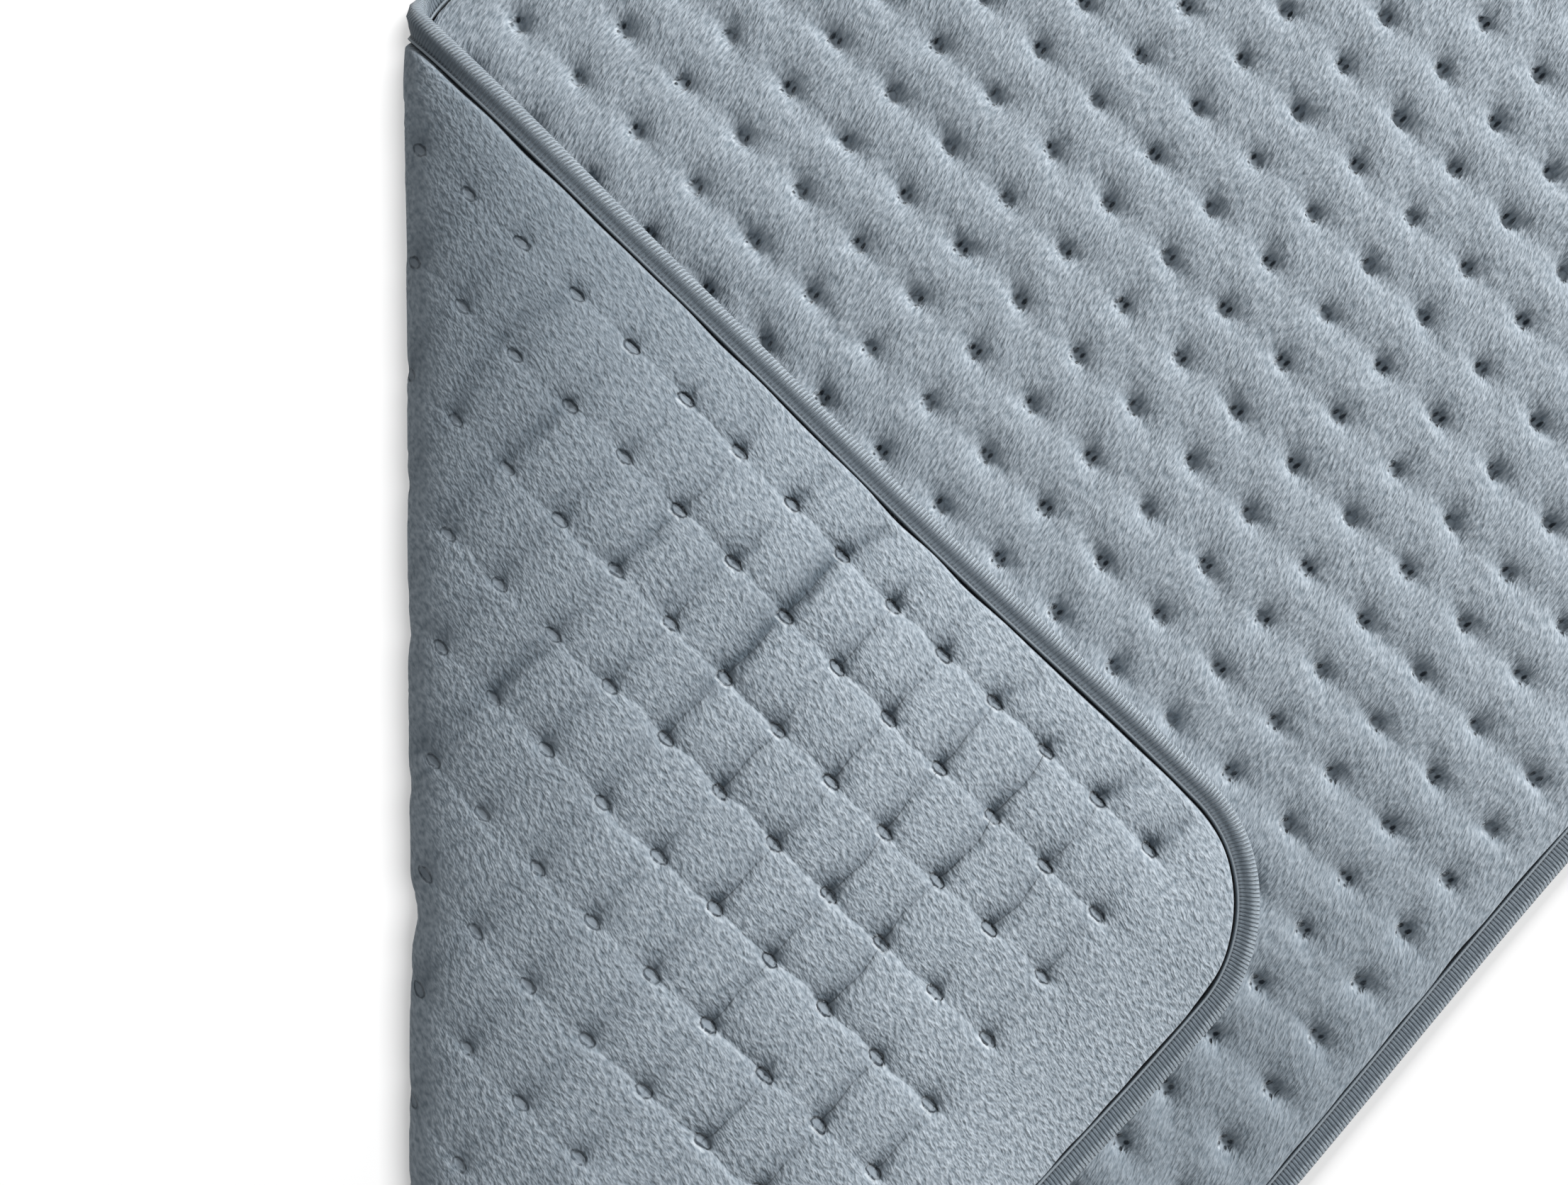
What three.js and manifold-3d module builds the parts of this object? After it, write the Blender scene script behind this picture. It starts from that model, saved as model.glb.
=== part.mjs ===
// A quilted heating pad, laid flat with one corner folded over onto its top.
//
// The pad is worked out as it lies flat, with its folding corner at x = 0, y = 0 and its underside at
// z = 0. The same fold then carries every point of the pad and of its binding to where it lies.
// Units are millimetres, +Z is up. X runs across the pad, Y along it.

import * as THREE from 'three';
import { mergeVertices } from 'three/addons/utils/BufferGeometryUtils.js';
import Module from 'manifold-3d';

const wasm = await Module();
wasm.setup();

// ---------------------------------------------------------------- driving dimensions

// The pad as it was sewn.
const PAD_WIDTH = 432;
const PAD_LENGTH = 838;
const CORNER_RADIUS = 48;

// The tufts that pin its two faces together, on a rectangular grid whose first tuft lies this far in
// from the two edges that meet at the folding corner.
const TUFT_COLUMNS = 17;
const TUFT_ROWS = 37;
const TUFT_PITCH_X = 23.65;
const TUFT_PITCH_Y = 20.6;
const FIRST_TUFT_X = 28;
const FIRST_TUFT_Y = 50;

// Heights above the underside: at the rim, in the plain margin, at a tuft, midway between two tufts,
// and on top of a puff, which differs a little from puff to puff.
const EDGE_THICKNESS = 5;
const MARGIN_HEIGHT = 5.7;
const TUFT_HEIGHT = 2.6;
const VALLEY_HEIGHT = 4.7;
const PUFF_HEIGHT = 6.2;
const PUFF_UNEVENNESS = 0.4;
const UNEVEN_LENGTH_X = 31;
const UNEVEN_LENGTH_Y = 17;

// The overlocked binding around the rim: a channel that grips the pad's thin rim.
const BINDING_WIDTH = 7.6;
const BINDING_WALL = 1.1;
const BINDING_ROUNDING = 1.6;

// The gap between pad and binding as sewn. Facets that cut across the curves narrow it, but it stays
// above 0.3 everywhere.
const PIECE_GAP = 0.6;

// The corner is folded along a line this far from it, square to this direction from the corner.
const FOLD_DISTANCE = 265.3;
const FOLD_DIRECTION_DEG = 44.5;
const BEND_RADIUS = 8.5;
const FALL_RADIUS = 300;
const LAYER_GAP = 3;

// How finely curves are divided.
const CORNER_STEPS = 7;
const ROUNDING_STEPS = 2;
const BEND_STEPS = 6;
const FALL_STEPS = 2;

// Lengths under this count as nothing, and neighbouring facets are joined where they are this flat.
const TOLERANCE = 1e-3;
const FLATNESS = 0.02;

// Cutting bodies reach this far past what they cut.
const OVERREACH = 6;
const FAR = 1000;

// ---------------------------------------------------------------- the fold

const NEUTRAL_HEIGHT = EDGE_THICKNESS / 2;
const BEND_TOP = NEUTRAL_HEIGHT + 2 * BEND_RADIUS;
const FLAP_HEIGHT = PUFF_HEIGHT + PUFF_UNEVENNESS + LAYER_GAP + EDGE_THICKNESS - NEUTRAL_HEIGHT;
const FALL_ANGLE = Math.acos(1 - (BEND_TOP - FLAP_HEIGHT) / (2 * FALL_RADIUS));

// What the sheet does past the place where it leaves the surface: it bends right over, and then
// falls in a shallow S onto the layer below. A negative radius turns the other way.
const FOLD_RUNS = [
  { radius: BEND_RADIUS, angle: Math.PI, steps: BEND_STEPS },
  { radius: FALL_RADIUS, angle: FALL_ANGLE, steps: FALL_STEPS },
  { radius: -FALL_RADIUS, angle: -FALL_ANGLE, steps: FALL_STEPS },
];

// The creases of the faceted fold. `flat` is how far a crease lies from the start of the bend in the
// flat sheet, `out` and `up` say where it ends up, square to the fold, and `turn` is how far the sheet
// has turned over there. Past the last crease the sheet lies level again, upside down.
function foldCreases() {
  const creases = [{ flat: 0, out: 0, up: NEUTRAL_HEIGHT, turn: 0 }];
  for (const run of FOLD_RUNS) {
    for (let step = 0; step < run.steps; step += 1) {
      const last = creases.at(-1);
      const turn = last.turn + run.angle / run.steps;
      creases.push({
        flat: last.flat + run.radius * run.angle / run.steps,
        out: last.out - run.radius * (Math.sin(turn) - Math.sin(last.turn)),
        up: last.up - run.radius * (Math.cos(turn) - Math.cos(last.turn)),
        turn,
      });
    }
  }
  const last = creases.at(-1);
  creases.push({ ...last, flat: last.flat + FAR, out: last.out + FAR });
  return creases;
}

const CREASES = foldCreases();

// How far the flat start of the bend is from the corner, square to the fold line, so that the turned
// corner lies on its own mirror image in that line.
const BEND_START = FOLD_DISTANCE + (CREASES.at(-1).flat - CREASES.at(-1).out) / 2;
const FOLD_DIRECTION = new THREE.Vector2(
  Math.cos(THREE.MathUtils.degToRad(FOLD_DIRECTION_DEG)),
  Math.sin(THREE.MathUtils.degToRad(FOLD_DIRECTION_DEG)),
);

// Distance of a flat place from the corner, square to the fold line.
function fromCorner(x, y) {
  return x * FOLD_DIRECTION.x + y * FOLD_DIRECTION.y;
}

function foldPoint(point) {
  const flat = BEND_START - fromCorner(point.x, point.y);
  if (flat <= 0) {
    return;
  }
  const height = point.z - NEUTRAL_HEIGHT;
  const place = (crease) => ({
    out: crease.out + height * Math.sin(crease.turn),
    up: crease.up + height * Math.cos(crease.turn),
  });
  const next = CREASES.findIndex((crease) => crease.flat > flat);
  const before = place(CREASES[next - 1]);
  const after = place(CREASES[next]);
  const share = (flat - CREASES[next - 1].flat) / (CREASES[next].flat - CREASES[next - 1].flat);
  const shift = THREE.MathUtils.lerp(before.out, after.out, share) + flat;
  point.x += shift * FOLD_DIRECTION.x;
  point.y += shift * FOLD_DIRECTION.y;
  point.z = THREE.MathUtils.lerp(before.up, after.up, share);
}

// ---------------------------------------------------------------- closed meshes

function solidOf(positions, triangles) {
  const mesh = new wasm.Mesh({
    numProp: 3,
    vertProperties: new Float32Array(positions),
    triVerts: new Uint32Array(triangles),
  });
  return new wasm.Manifold(mesh);
}

// Splits every triangle that crosses the flat line of a crease.
function splitAlong(mesh, crease) {
  const side = mesh.points.map((point) => BEND_START - fromCorner(point.x, point.y) - crease.flat);
  const cuts = new Map();
  const cut = (from, to) => {
    const key = `${Math.min(from, to)} ${Math.max(from, to)}`;
    if (!cuts.has(key)) {
      const share = side[from] / (side[from] - side[to]);
      cuts.set(key, mesh.points.length);
      mesh.points.push(mesh.points[from].clone().lerp(mesh.points[to], share));
    }
    return cuts.get(key);
  };
  const crosses = (from, to) => (
    Math.max(side[from], side[to]) > TOLERANCE && Math.min(side[from], side[to]) < -TOLERANCE
  );
  mesh.triangles = mesh.triangles.flatMap((corners) => {
    const ring = corners.flatMap((corner, at) => {
      const next = corners[(at + 1) % corners.length];
      return crosses(corner, next) ? [corner, cut(corner, next)] : [corner];
    });
    // A fan from a new corner has the crease as one of its edges.
    const first = Math.max(0, ring.findIndex((corner) => !corners.includes(corner)));
    const fan = [...ring.slice(first), ...ring.slice(0, first)];
    return fan.slice(2).map((corner, at) => [fan[0], fan[at + 1], corner]);
  });
}

// Folds a flat solid, and moves it so that the pad is centred.
function foldedGeometry(flatSolid) {
  const flat = flatSolid.getMesh();
  const mesh = { points: [], triangles: [] };
  for (let at = 0; at < flat.vertProperties.length; at += flat.numProp) {
    mesh.points.push(new THREE.Vector3().fromArray(flat.vertProperties, at));
  }
  for (let at = 0; at < flat.triVerts.length; at += 3) {
    mesh.triangles.push([...flat.triVerts.slice(at, at + 3)]);
  }
  for (const crease of CREASES.slice(0, -1)) {
    splitAlong(mesh, crease);
  }
  const centre = new THREE.Vector3(PAD_WIDTH / 2, PAD_LENGTH / 2, 0);
  for (const point of mesh.points) {
    foldPoint(point);
    point.sub(centre);
  }
  const positions = mesh.points.flatMap((point) => point.toArray());
  const folded = solidOf(positions, mesh.triangles.flat()).simplify(FLATNESS).getMesh();
  const geometry = new THREE.BufferGeometry();
  geometry.setAttribute('position', new THREE.BufferAttribute(folded.vertProperties, folded.numProp));
  geometry.setIndex(new THREE.BufferAttribute(folded.triVerts, 1));
  geometry.computeVertexNormals();
  return geometry;
}

// ---------------------------------------------------------------- flat shapes

// The pad's outline, drawn in by `inset`, as points counter-clockwise from the folding corner.
function outline(inset) {
  const far = { x: PAD_WIDTH - CORNER_RADIUS, y: PAD_LENGTH - CORNER_RADIUS };
  const centres = [
    { x: CORNER_RADIUS, y: CORNER_RADIUS },
    { x: far.x, y: CORNER_RADIUS },
    { x: far.x, y: far.y },
    { x: CORNER_RADIUS, y: far.y },
  ];
  return centres.flatMap((centre, corner) => {
    const points = [];
    for (let step = 0; step <= CORNER_STEPS; step += 1) {
      const angle = Math.PI * (1 + corner / 2 + step / CORNER_STEPS / 2);
      const reach = CORNER_RADIUS - inset;
      points.push(new THREE.Vector2(
        centre.x + reach * Math.cos(angle),
        centre.y + reach * Math.sin(angle),
      ));
    }
    return points;
  });
}

// A slab with the pad's outline, drawn in by `inset`, from z = `low` to z = `high`.
function outlineSlab(inset, low, high) {
  const shape = new THREE.Shape(outline(inset));
  const geometry = new THREE.ExtrudeGeometry(shape, { depth: high - low, bevelEnabled: false });
  geometry.translate(0, 0, low);
  geometry.deleteAttribute('normal');
  geometry.deleteAttribute('uv');
  const merged = mergeVertices(geometry, TOLERANCE);
  return solidOf(merged.attributes.position.array, merged.index.array);
}

// A ring that carries a closed section around the pad's outline. The section's points give how far
// in from the outline they are and how high.
function outlineRing(section) {
  const loops = section.map((corner) => outline(corner.inset));
  const stations = loops[0].length;
  const positions = section.flatMap((corner, at) => (
    loops[at].flatMap((point) => [point.x, point.y, corner.z])
  ));
  const triangles = [];
  for (let corner = 0; corner < section.length; corner += 1) {
    for (let station = 0; station < stations; station += 1) {
      const nextStation = (station + 1) % stations;
      const here = corner * stations;
      const there = (corner + 1) % section.length * stations;
      triangles.push(here + station, there + nextStation, there + station);
      triangles.push(here + station, here + nextStation, there + nextStation);
    }
  }
  return solidOf(positions, triangles);
}

// The lines of the quilt across one direction: the rim, the middle of the plain margin, then each
// tuft and each place midway between two tufts.
function quiltLines(size, first, count, pitch) {
  const last = first + (count - 1) * pitch;
  const quilt = [];
  for (let place = 0; place <= 2 * (count - 1); place += 1) {
    quilt.push({ at: first + place * pitch / 2, zone: place % 2 === 0 ? 'tuft' : 'between' });
  }
  return [
    { at: -OVERREACH, zone: 'rim' },
    { at: BINDING_WIDTH, zone: 'rim' },
    { at: (BINDING_WIDTH + first) / 2, zone: 'margin' },
    ...quilt,
    { at: (last + size - BINDING_WIDTH) / 2, zone: 'margin' },
    { at: size - BINDING_WIDTH, zone: 'rim' },
    { at: size + OVERREACH, zone: 'rim' },
  ];
}

// Height of the quilt where two of its lines cross.
function quiltHeight(column, row) {
  const zones = [column.zone, row.zone];
  if (zones.includes('rim')) {
    return EDGE_THICKNESS;
  }
  if (zones.includes('margin')) {
    return MARGIN_HEIGHT;
  }
  if (zones.every((zone) => zone === 'tuft')) {
    return TUFT_HEIGHT;
  }
  if (zones.includes('tuft')) {
    return VALLEY_HEIGHT;
  }
  const unevenness = Math.sin(column.at / UNEVEN_LENGTH_X) * Math.cos(row.at / UNEVEN_LENGTH_Y);
  return PUFF_HEIGHT + PUFF_UNEVENNESS * unevenness;
}

// A body whose one face is the quilt, while its other sides run to a far point below it, or above it
// where `facesUp` is false. `heightAt` gives the face's height where two lines of the quilt cross.
function quiltedBody(heightAt, facesUp) {
  const columns = quiltLines(PAD_WIDTH, FIRST_TUFT_X, TUFT_COLUMNS, TUFT_PITCH_X);
  const rows = quiltLines(PAD_LENGTH, FIRST_TUFT_Y, TUFT_ROWS, TUFT_PITCH_Y);
  const positions = rows.flatMap((row) => (
    columns.flatMap((column) => [column.at, row.at, heightAt(column, row)])
  ));
  const farPoint = rows.length * columns.length;
  positions.push(PAD_WIDTH / 2, PAD_LENGTH / 2, facesUp ? -FAR : FAR);
  const triangles = [];
  const add = (a, b, c) => triangles.push(...(facesUp ? [a, b, c] : [a, c, b]));
  const vertex = (column, row) => row * columns.length + column;
  const lastColumn = columns.length - 1;
  const lastRow = rows.length - 1;
  for (let row = 0; row < lastRow; row += 1) {
    for (let column = 0; column < lastColumn; column += 1) {
      const near = vertex(column, row);
      const across = vertex(column + 1, row);
      const along = vertex(column, row + 1);
      const opposite = vertex(column + 1, row + 1);
      // Each small rectangle is divided from its tuft to its puff.
      if ((row + column) % 2 === 0) {
        add(near, across, opposite);
        add(near, opposite, along);
      } else {
        add(near, across, along);
        add(across, opposite, along);
      }
    }
  }
  for (let column = 0; column < lastColumn; column += 1) {
    add(vertex(column + 1, 0), vertex(column, 0), farPoint);
    add(vertex(column, lastRow), vertex(column + 1, lastRow), farPoint);
  }
  for (let row = 0; row < lastRow; row += 1) {
    add(vertex(0, row), vertex(0, row + 1), farPoint);
    add(vertex(lastColumn, row + 1), vertex(lastColumn, row), farPoint);
  }
  return solidOf(positions, triangles);
}

// ---------------------------------------------------------------- the pieces

// The filled pad. Its upper face is quilted outside the fold, and its under face on the corner that
// is turned over, past the bend. Elsewhere its faces are plain.
function padSolid() {
  const upper = quiltedBody((column, row) => (
    fromCorner(column.at, row.at) > BEND_START ? quiltHeight(column, row) : EDGE_THICKNESS
  ), true);
  const turned = BEND_START - BEND_RADIUS * Math.PI;
  const under = quiltedBody((column, row) => (
    fromCorner(column.at, row.at) < turned ? EDGE_THICKNESS - quiltHeight(column, row) : 0
  ), false);
  const low = -OVERREACH;
  const high = EDGE_THICKNESS + OVERREACH;
  const inside = outlineSlab(BINDING_WIDTH + PIECE_GAP, low, high);
  const gripped = BINDING_WALL + PIECE_GAP;
  const rim = outlineSlab(gripped, gripped, EDGE_THICKNESS - gripped)
    .subtract(outlineSlab(BINDING_WIDTH + OVERREACH, low, high));
  return upper.intersect(under).intersect(inside).add(rim);
}

// A channel of stitches around the rim, open towards the middle of the pad.
function bindingSolid() {
  const section = [{ inset: BINDING_WIDTH, z: 0 }];
  for (const [corner, level] of [[-Math.PI / 2, BINDING_ROUNDING], [0, EDGE_THICKNESS - BINDING_ROUNDING]]) {
    for (let step = 0; step <= ROUNDING_STEPS; step += 1) {
      const angle = corner + Math.PI / 2 * step / ROUNDING_STEPS;
      section.push({
        inset: BINDING_ROUNDING * (1 - Math.cos(angle)),
        z: level + BINDING_ROUNDING * Math.sin(angle),
      });
    }
  }
  section.push(
    { inset: BINDING_WIDTH, z: EDGE_THICKNESS },
    { inset: BINDING_WIDTH, z: EDGE_THICKNESS - BINDING_WALL },
    { inset: BINDING_WALL, z: EDGE_THICKNESS - BINDING_WALL },
    { inset: BINDING_WALL, z: BINDING_WALL },
    { inset: BINDING_WIDTH, z: BINDING_WALL },
  );
  return outlineRing(section);
}

function plush() {
  return new THREE.MeshStandardMaterial({ color: 0x8796a2, roughness: 0.95, metalness: 0 });
}

function bindingYarn() {
  return new THREE.MeshStandardMaterial({ color: 0x5f737f, roughness: 0.85, metalness: 0 });
}

function namedMesh(name, flatSolid, material) {
  const mesh = new THREE.Mesh(foldedGeometry(flatSolid), material);
  mesh.name = name;
  return mesh;
}

const heatingPad = new THREE.Group();
heatingPad.add(namedMesh('quilted_pad', padSolid(), plush()));
heatingPad.add(namedMesh('edge_binding', bindingSolid(), bindingYarn()));

export default heatingPad;
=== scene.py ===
import math

import bpy
import numpy as np
from mathutils import Matrix, Vector
from mathutils.geometry import delaunay_2d_cdt


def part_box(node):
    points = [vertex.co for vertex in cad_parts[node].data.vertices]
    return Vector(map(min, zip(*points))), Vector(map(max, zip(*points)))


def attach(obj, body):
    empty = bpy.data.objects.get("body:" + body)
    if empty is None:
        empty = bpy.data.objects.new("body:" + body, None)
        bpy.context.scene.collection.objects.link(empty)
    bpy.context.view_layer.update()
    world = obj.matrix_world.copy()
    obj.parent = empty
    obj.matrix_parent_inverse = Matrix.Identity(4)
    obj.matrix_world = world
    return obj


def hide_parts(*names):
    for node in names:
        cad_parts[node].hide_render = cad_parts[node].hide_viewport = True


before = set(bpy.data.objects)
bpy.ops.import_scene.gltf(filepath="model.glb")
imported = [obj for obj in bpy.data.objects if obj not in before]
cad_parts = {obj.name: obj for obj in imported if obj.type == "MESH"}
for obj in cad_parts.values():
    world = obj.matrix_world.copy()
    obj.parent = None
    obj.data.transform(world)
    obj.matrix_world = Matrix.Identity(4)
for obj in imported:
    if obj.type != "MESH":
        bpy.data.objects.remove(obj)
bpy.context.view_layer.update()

MM = 0.001
RANDOM = np.random.default_rng(7)

# ------------------------------------------------------------ the pad's sizes, in mm, as it was sewn

PAD_WIDTH, PAD_LENGTH, CORNER_RADIUS = 432.0, 838.0, 48.0
COLUMNS, ROWS, PITCH_X, PITCH_Y = 17, 37, 23.65, 20.6
FIRST_X, FIRST_Y = 28.0, 50.0
EDGE_THICKNESS, NEUTRAL = 5.0, 2.5

# The fold: how far along the cloth from where it leaves the surface, and how far it has turned by there.
FOLD_DISTANCE, FOLD_DIRECTION_DEG = 265.3, 44.5
FOLD_SECTION = (
    (0, 0), (3, 14), (7, 46), (10.5, 82), (14, 118), (17.5, 142), (22, 156), (28, 164), (37, 169.5),
    (49, 174), (63, 178.5), (80, 182), (100, 184.5), (135, 186), (170, 185.5), (210, 182.5), (250, 180),
    (600, 180),
)
STEP = 0.25
FOLD_RUN = np.arange(0, FOLD_SECTION[-1][0], STEP)
FOLD_TURN = np.radians(np.interp(FOLD_RUN, *zip(*FOLD_SECTION)))
# The turn is evened out over this many steps to each side.
EVENED = 12
EVENING = np.ones(2 * EVENED + 1) / (2 * EVENED + 1)
FOLD_TURN = np.convolve(np.pad(FOLD_TURN, EVENED, "edge"), EVENING, "valid")
FOLD_OUT = -np.concatenate([[0], np.cumsum(np.cos((FOLD_TURN[1:] + FOLD_TURN[:-1]) / 2) * STEP)])
FOLD_UP = NEUTRAL + np.concatenate([[0], np.cumsum(np.sin((FOLD_TURN[1:] + FOLD_TURN[:-1]) / 2) * STEP)])
BEND_START = FOLD_DISTANCE + (FOLD_RUN[-1] - FOLD_OUT[-1]) / 2
FOLD_DIRECTION = math.radians(FOLD_DIRECTION_DEG)
ACROSS_FOLD = np.array([math.cos(FOLD_DIRECTION), math.sin(FOLD_DIRECTION)])
ALONG_FOLD = np.array([-ACROSS_FOLD[1], ACROSS_FOLD[0]])

# Places along the fold, and how far the bend stands out there beyond an even one. Its steady part
# reaches further into the turned-up face than its dents do.
FOLD_FULLNESS = (
    (-262, 0.0), (-130, 4.6), (-85, 3.6), (-20, 1.6), (-2, 0.9), (8, -1.2), (18, 0.8), (36, 0.9),
    (44, -0.3), (52, 0.6), (80, 0.0), (86, -1.0), (94, -0.2), (150, -1.4), (200, -2.2), (255, -2.6),
    (275, -2.6),
)
STEADY_FULLNESS = ((-262, 0.0), (-130, 4.6), (80, 0.0), (275, -2.6))
STEADY_REACH, DENT_REACH = 150.0, 36.0

# The flap's rim sinks towards the layer below, from this far past the bend and within this reach of the
# rim.
RIM_SAG, RIM_SAG_START, RIM_SAG_REACH = 3.4, 30.0, 46.0

# The cloth isn't quite true. It drifts in its own plane, by DRIFT everywhere and by FLAP_DRIFT more on the
# flap, and the flap rises and falls by FLAP_SWELL. The two lengths are how wide the bumps are.
DRIFT, FLAP_DRIFT, DRIFT_LENGTH = 0.35, 0.75, 95
FLAP_SWELL, SWELL_LENGTH = 0.7, 75

# Upper face of the pad above its underside: top of the puffs, then for each face the pits at its tufts
# (how deep, how far they reach, how much longer than wide and which way) and its valleys. A valley
# slopes gently on one side and steeply on the other, with painted shade along it: depth, half width
# towards lower and higher values, least strength, how strong it still is at its lower end, and how much
# painted shade. The turned-up face is drawn tighter, so it is crisper.
PUFF_TOP = 6.7
UPPER = dict(
    tuft=3.9, reach=3.5, long=1.6, long_deg=160, steep_x=1.0, steep_y=1.35,
    along_x=(0.75, 2.8, 4.6, 0.45, 1.0, 0.16), along_y=(0.25, 3.0, 3.0, 0.3, 1.0, 0.06), bow=1.2,
)
UNDER = dict(
    tuft=1.9, reach=3.4, long=1.5, long_deg=70, steep_x=1.9, steep_y=1.3,
    along_x=(0.9, 0.7, 3.0, 0.2, 0.3, 0.9), along_y=(1.0, 2.7, 0.6, 0.3, 0.9, 0.34), bow=1.4,
)

# Height of the plush near the rim: (inset, height above the other face's level). Between the two insets
# of RIM_TO_QUILT it gives way to the quilt.
RIM_PROFILE = (
    (1.7, 3.3), (8.5, 3.3), (8.8, 4.1), (9.2, 5.1), (9.6, 5.75), (9.9, 5.98), (10.8, 6.15), (12.0, 6.2),
    (13.4, 6.1), (16.0, 5.95),
)
RIM_TO_QUILT = (9.6, 17)

# Creases of the turned-up face, one by one: from (column, row) to (column, row), depth at each end, half
# width.
CREASES = (
    ((-0.62, 5.72), (0.0, 6.0), 0.9, 1.5, 1.0),
    ((0.0, 6.0), (1.0, 6.0), 1.5, 1.7, 1.1),
    ((1.0, 6.0), (2.0, 6.0), 1.6, 1.4, 1.1),
    ((2.0, 6.0), (3.0, 6.05), 0.8, 0.2, 1.2),
    ((-0.66, 6.85), (0.0, 7.0), 0.5, 1.1, 0.9),
    ((0.45, 7.0), (1.0, 7.0), 0.5, 0.9, 0.9),
    ((1.0, 7.15), (2.0, 7.25), 0.6, 0.4, 0.7),
    ((-0.57, 5.0), (0.0, 5.0), 0.3, 0.7, 0.9),
    ((-0.42, 4.8), (-0.2, 5.1), 0.8, 0.6, 0.5),
    ((-0.65, 2.7), (0.0, 3.0), 0.4, 1.0, 1.0),
    ((-0.58, 0.7), (0.0, 1.0), 0.8, 1.2, 1.1),
    ((-0.6, -0.2), (0.0, 0.0), 0.8, 1.3, 1.1),
    ((-0.6, 4.15), (0.0, 4.0), 0.3, 0.6, 1.0),
    ((-0.6, 8.2), (0.0, 8.0), 0.3, 0.5, 1.1),
    ((-0.5, 1.9), (0.0, 2.0), 0.2, 0.5, 1.1),
    ((1.0, 8.0), (2.0, 8.0), 0.9, 0.7, 0.8),
    ((0.0, 11.0), (1.0, 11.3), 0.6, 0.8, 1.3),
    ((1.0, 11.3), (2.2, 11.0), 0.8, 0.4, 1.3),
    ((1.0, 10.0), (3.1, 10.2), 0.9, 0.4, 1.3),
    ((3.1, 7.9), (5.2, 8.3), 0.6, 0.6, 1.2),
)
# Valleys that are stronger than most, by the (column, row) of the tuft they reach.
STRONG_VALLEYS = {
    (1, 5): 1.0, (1, 4): 0.8, (1, 3): 1.1, (1, 2): 1.5, (1, 1): 0.9, (2, 3): 1.1, (2, 2): 1.6, (2, 1): 1.3,
    (3, 3): 1.5, (3, 2): 1.0, (4, 2): 1.5, (4, 4): 1.2, (3, 5): 1.1, (5, 3): 1.1, (2, 4): 0.9, (5, 1): 1.2,
}

# ------------------------------------------------------------ small helpers


def smooth(low, high, value):
    t = np.clip((value - low) / (high - low), 0, 1)
    return t * t * (3 - 2 * t)


def waves(x, y, length, seed, count=7):
    """A smooth uneven field between about -1 and 1 whose bumps are about `length` across."""
    random = np.random.default_rng(seed)
    total = np.zeros_like(x)
    for _ in range(count):
        turn, phase = random.uniform(0, 2 * math.pi, 2)
        span = length * random.uniform(0.7, 1.6)
        total += np.sin((x * math.cos(turn) + y * math.sin(turn)) * 2 * math.pi / span / 1.4 + phase)
    return total / math.sqrt(count) / 1.3


def inset_of(x, y):
    """How far a flat place is inside the pad's outline."""
    qx = np.abs(x - PAD_WIDTH / 2) - (PAD_WIDTH / 2 - CORNER_RADIUS)
    qy = np.abs(y - PAD_LENGTH / 2) - (PAD_LENGTH / 2 - CORNER_RADIUS)
    outside = np.hypot(np.maximum(qx, 0), np.maximum(qy, 0))
    return CORNER_RADIUS - outside - np.minimum(np.maximum(qx, qy), 0)


def inside_lip(x, y):
    """The same, but following the lip of the plush, which wanders where it swells between the tufts."""
    inset = inset_of(x, y)
    wander = 0.32 * waves(x, y, 13, 61) + 0.2 * waves(x, y, 34, 62)
    return inset + wander * smooth(7.8, 8.6, inset) * smooth(14, 10, inset)


def from_corner(x, y):
    return x * ACROSS_FOLD[0] + y * ACROSS_FOLD[1]


def rim_stations(spacing):
    """Places around the outline: the middle that each is measured from, its outward direction and its
    distance along the outline; and the outline's whole length."""
    far_x, far_y = PAD_WIDTH - CORNER_RADIUS, PAD_LENGTH - CORNER_RADIUS
    corners = ((far_x, far_y), (CORNER_RADIUS, far_y), (CORNER_RADIUS, CORNER_RADIUS), (far_x, CORNER_RADIUS))
    middles, outward, run = [], [], []
    at = 0.0
    for index, corner in enumerate(corners):
        start = math.pi * index / 2
        arc = CORNER_RADIUS * math.pi / 2
        steps = max(4, round(arc / spacing))
        for step in range(steps):
            angle = start + math.pi / 2 * step / steps
            middles.append(corner)
            outward.append((math.cos(angle), math.sin(angle)))
            run.append(at + arc * step / steps)
        at += arc
        following = corners[(index + 1) % 4]
        side = math.dist(corner, following)
        steps = max(4, round(side / spacing))
        for step in range(steps):
            share = step / steps
            middles.append(tuple(a + (b - a) * share for a, b in zip(corner, following)))
            outward.append((math.cos(start + math.pi / 2), math.sin(start + math.pi / 2)))
            run.append(at + side * share)
        at += side
    return np.array(middles), np.array(outward), np.array(run), at


# ------------------------------------------------------------ the fold


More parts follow.
